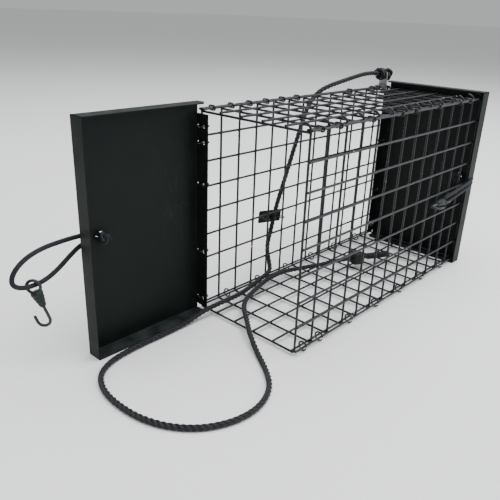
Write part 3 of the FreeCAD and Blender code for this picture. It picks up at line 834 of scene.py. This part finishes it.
def make_weld_beads():
    """A bead at every crossing of the four panels.

    The outer long wires of the floor and the top stand in from the cell grid, so they are grids of their own.
    """
    tree = bead_tree()
    joined = bmesh.new()
    upright = Matrix.Rotation(math.pi / 2, 4, "X")
    flat = Matrix.Identity(4)
    edge_gap = WIDTH - 2 * EDGE_INSET
    middle_rows = CELLS_DEEP - 1
    back_y, near_y = WIDTH + LAYER / 2, -LAYER / 2
    floor_z, top_z = -LAYER / 2, HEIGHT - LAYER / 2
    grids = [
        (upright, (LENGTH / 2, back_y, HEIGHT / 2), CELLS_HIGH + 1, CELL),
        (upright, (LENGTH / 2, near_y, HEIGHT / 2), CELLS_HIGH + 1, CELL),
        (flat, (LENGTH / 2, WIDTH / 2, floor_z), middle_rows, CELL),
        (flat, (LENGTH / 2, WIDTH / 2, floor_z), 2, edge_gap),
        (flat, (LENGTH / 2, WIDTH / 2, top_z), middle_rows, CELL),
        (flat, (LENGTH / 2, WIDTH / 2, top_z), 2, edge_gap),
    ]
    for seed, (turn, middle, rows, pitch) in enumerate(grids):
        mesh = grow(
            tree,
            Columns=CELLS_LONG + 1,
            Rows=rows,
            Column_Pitch=CELL,
            Row_Pitch=pitch,
            Bead_Radius=BEAD_R,
            Seed=seed,
            Material=WIRE,
        )
        mesh.transform(Matrix.Translation(at(*middle)) @ turn)
        joined.from_mesh(mesh)
        bpy.data.meshes.remove(mesh)
    add_piece("weld_beads", mesh_from(joined, "weld_beads"), WIRE, "cage")


# ---- rope ----


def tail_matrix(distance):
    """Turns a shape made along z onto the rope's straight tail, its start at a distance along that run."""
    start, end = at(*ROPE_ROUTE[-2]), at(*ROPE_ROUTE[-1])
    heading = (end - start).normalized()
    turn = heading.to_track_quat("Z", "Y").to_matrix().to_4x4()
    return Matrix.Translation(start + heading * distance) @ turn


def knotted_line(ring, lobe, depth, samples, share, back, tail_step, tail_drift):
    """The middle line of an overhand knot about the x axis, with a short tail that runs out of it.

    The knot covers a share of the whole closed shape, and the tail heads as its last few samples do.
    """
    line = []
    for i in range(samples):
        t = 2 * math.pi * i / (samples - 1) * share
        out = ring + lobe * math.cos(3 * t)
        line.append(Vector((depth * math.sin(3 * t), out * math.cos(2 * t), out * math.sin(2 * t))))
    away = (line[-1] - line[-back]).normalized() * tail_step + Vector(tail_drift)
    return line + [line[-1] + away * k for k in range(1, TAIL_STEPS + 1)]


def hitch_line():
    """Turns wound round the rope before the tab's ear."""
    line = []
    for i in range(HITCH_SAMPLES):
        along = i / (HITCH_SAMPLES - 1)
        turn = 2 * math.pi * HITCH_TURNS * along
        across, high = HITCH_R * math.cos(turn), HITCH_R * math.sin(turn)
        line.append(Vector((HITCH_LONG * (along - 0.5), across, high)))
    return line


def make_rope_knot():
    """An overhand knot beyond the tab's ear and a hitch of two turns before it, in the same rope."""
    low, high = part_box("rope_knot")
    middle = (Vector(low) + Vector(high)) / 2
    knot = knotted_line(
        ring=0.0040,
        lobe=0.0017,
        depth=0.0027,
        samples=150,
        share=0.97,
        back=8,
        tail_step=0.0009,
        tail_drift=(0.0004, 0, 0),
    )
    hitch = [HITCH_FROM_KNOT + p for p in hitch_line()]
    bm = bmesh.new()
    laid_strands(bm, evenly([middle + p for p in knot], 0.0006), KNOT_ROPE_D, KNOT_LAY)
    laid_strands(bm, evenly([middle + p for p in hitch], 0.0006), HITCH_ROPE_D, KNOT_LAY)
    piece = add_piece("rope_knot_tied", mesh_from(bm, "rope_knot_tied"), ROPE, "cage")
    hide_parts("rope_knot")
    return piece


def make_whipping():
    """The rope's end, wound with twine over a tight core."""
    run = (at(*ROPE_ROUTE[-1]) - at(*ROPE_ROUTE[-2])).length
    turns = round(WHIP_LONG / (2 * WHIP_TWINE_R))
    radius = ROPE_D / 2 + WHIP_TWINE_R
    mesh = grow(
        winding_tree(),
        Turns=float(turns),
        Winding_Radius=radius,
        Winding_Length=WHIP_LONG - 2 * WHIP_TWINE_R,
        Twine_Radius=WHIP_TWINE_R * 1.08,
        Material=TWINE,
    )
    bm = bmesh.new()
    bm.from_mesh(mesh)
    bpy.data.meshes.remove(mesh)
    core_r = ROPE_D / 2 + 0.0002
    end = WHIP_LONG + 0.0006
    profile = [(0.0, 0.0), (0.0, core_r), (WHIP_LONG, core_r), (end, core_r * 0.86), (end, 0.0)]
    inner = mesh_from(lathe(profile, 24), "core")
    bm.from_mesh(inner)
    bpy.data.meshes.remove(inner)
    result = mesh_from(bm, "rope_end_winding")
    result.transform(tail_matrix(run + 0.0025 - WHIP_LONG))
    piece = add_piece("rope_end_winding", result, TWINE, "cage")
    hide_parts("rope_whipping")
    return piece


def make_rope():
    middle_line = evenly(spline_points("rope line", ROPE_ROUTE), 0.001)
    bm = bmesh.new()
    laid_strands(bm, middle_line, ROPE_D, ROPE_LAY)
    rope = add_piece("laid_rope", mesh_from(bm, "laid_rope"), ROPE, "cage")
    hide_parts("rope_upper", "rope_laid", "rope_tail")
    on_it = [make_rope_knot(), make_whipping(), frame["nodes"]["rope_stop_block"]]


# ---- elastic cords ----


def make_bungee(side, route):
    """One elastic cord with its knot inside the door, and the hook that it holds."""
    middle_line = evenly(spline_points(f"{side} bungee line", route), 0.0004)
    name, body = f"{side}_elastic_cord", f"{side}_door"
    bm = bmesh.new()
    sweep(bm, middle_line, BUNGEE_D / 2, 28, shape=braid(BRAID_CARRIERS, BRAID_SLANT))
    cord = add_piece(name, mesh_from(bm, name), BUNGEE, body)
    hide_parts(f"{side}_bungee")
    pieces = [make_bungee_knot(side, body), *make_hook_parts(side)]


def make_bungee_knot(side, body):
    """Both ends of the cord tied together in one overhand knot."""
    low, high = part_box(f"{side}_bungee_knot")
    middle = (Vector(low) + Vector(high)) / 2
    inward = Vector((0, -1, 0)) if side == "left" else Vector((-1, 0, 0))
    turn = inward.to_track_quat("X", "Z").to_matrix()
    line = knotted_line(
        ring=0.0029,
        lobe=0.0013,
        depth=0.0022,
        samples=130,
        share=0.96,
        back=9,
        tail_step=0.0007,
        tail_drift=(0.0003, 0, -0.0003),
    )
    bm = bmesh.new()
    points = evenly([middle + turn @ p for p in line], 0.0005)
    sweep(bm, points, KNOT_CORD_R, 24, shape=braid(BRAID_CARRIERS, BRAID_SLANT))
    knot = add_piece(f"{side}_cord_knot", mesh_from(bm, f"{side}_cord_knot"), BUNGEE, body)
    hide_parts(f"{side}_bungee_knot")
    return knot


# height under the eye's middle, and radius, down the ribs
SLEEVE_PROFILE = [
    (-0.0041, 0.0),
    (-0.0041, 0.0038),
    (-0.0047, 0.0048),
    (-0.0060, 0.0051),
    (-0.0078, 0.0049),
    (-0.0083, 0.0044),
    (-0.0089, 0.0044),
    (-0.0093, 0.0046),
    (-0.0110, 0.0042),
    (-0.0114, 0.0038),
    (-0.0120, 0.0038),
    (-0.0124, 0.0040),
    (-0.0142, 0.0035),
    (-0.0146, 0.0031),
    (-0.0151, 0.0031),
    (-0.0155, 0.0033),
    (-0.0176, 0.0027),
    (-0.0184, 0.0022),
    (-0.0186, 0.0018),
    (-0.0186, 0.0),
]
SLEEVE_WIDEST = {"left": 0.0051, "right": 0.0040}  # the right one lies close to the near panel's wires


def hook_matrix(side):
    """Places a shape made about the eye's middle, shank down -z, as the solid hook stands."""
    if side == "left":
        lean = Matrix.Rotation(math.radians(LEFT_HOOK_LEAN), 4, "Y")
        turn = Matrix.Rotation(math.radians(LEFT_HOOK_TURN), 4, "Z")
        return Matrix.Translation(LEFT_HOOK) @ turn @ lean
    held = Matrix.Rotation(math.pi / 2, 4, "X") @ Matrix.Rotation(math.pi / 2, 4, "Y")
    return Matrix.Translation(RIGHT_HOOK) @ held


def make_hook_parts(side):
    """The solid hook, and a ribbed sleeve moulded round its shank."""
    body = "left_hook_hanging" if side == "left" else "right_door"
    widest = SLEEVE_WIDEST[side]
    profile = [(height, min(radius, widest)) for height, radius in SLEEVE_PROFILE]
    mesh = mesh_from(lathe(profile), f"{side}_ribbed_sleeve")
    mesh.transform(hook_matrix(side))
    sleeve = add_piece(f"{side}_ribbed_sleeve", mesh, SLEEVE, body)
    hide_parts(f"{side}_hook_sleeve")
    return [frame["nodes"][f"{side}_hook"], sleeve]


# ---- floor ----


def make_floor():
    mesh = bpy.data.meshes.new("floor")
    reach = 30.0
    corners = [(-reach, -reach, 0), (reach, -reach, 0), (reach, reach, 0), (-reach, reach, 0)]
    mesh.from_pydata(corners, [], [(0, 1, 2, 3)])
    mesh.materials.append(pale_floor())
    floor = bpy.data.objects.new("floor", mesh)
    bpy.context.scene.collection.objects.link(floor)


set_camera()
make_rope()
make_bungee("left", LEFT_BUNGEE_ROUTE)
make_bungee("right", RIGHT_BUNGEE_ROUTE)
set_light()
make_floor()
finish_cad_nodes()
make_weld_beads()
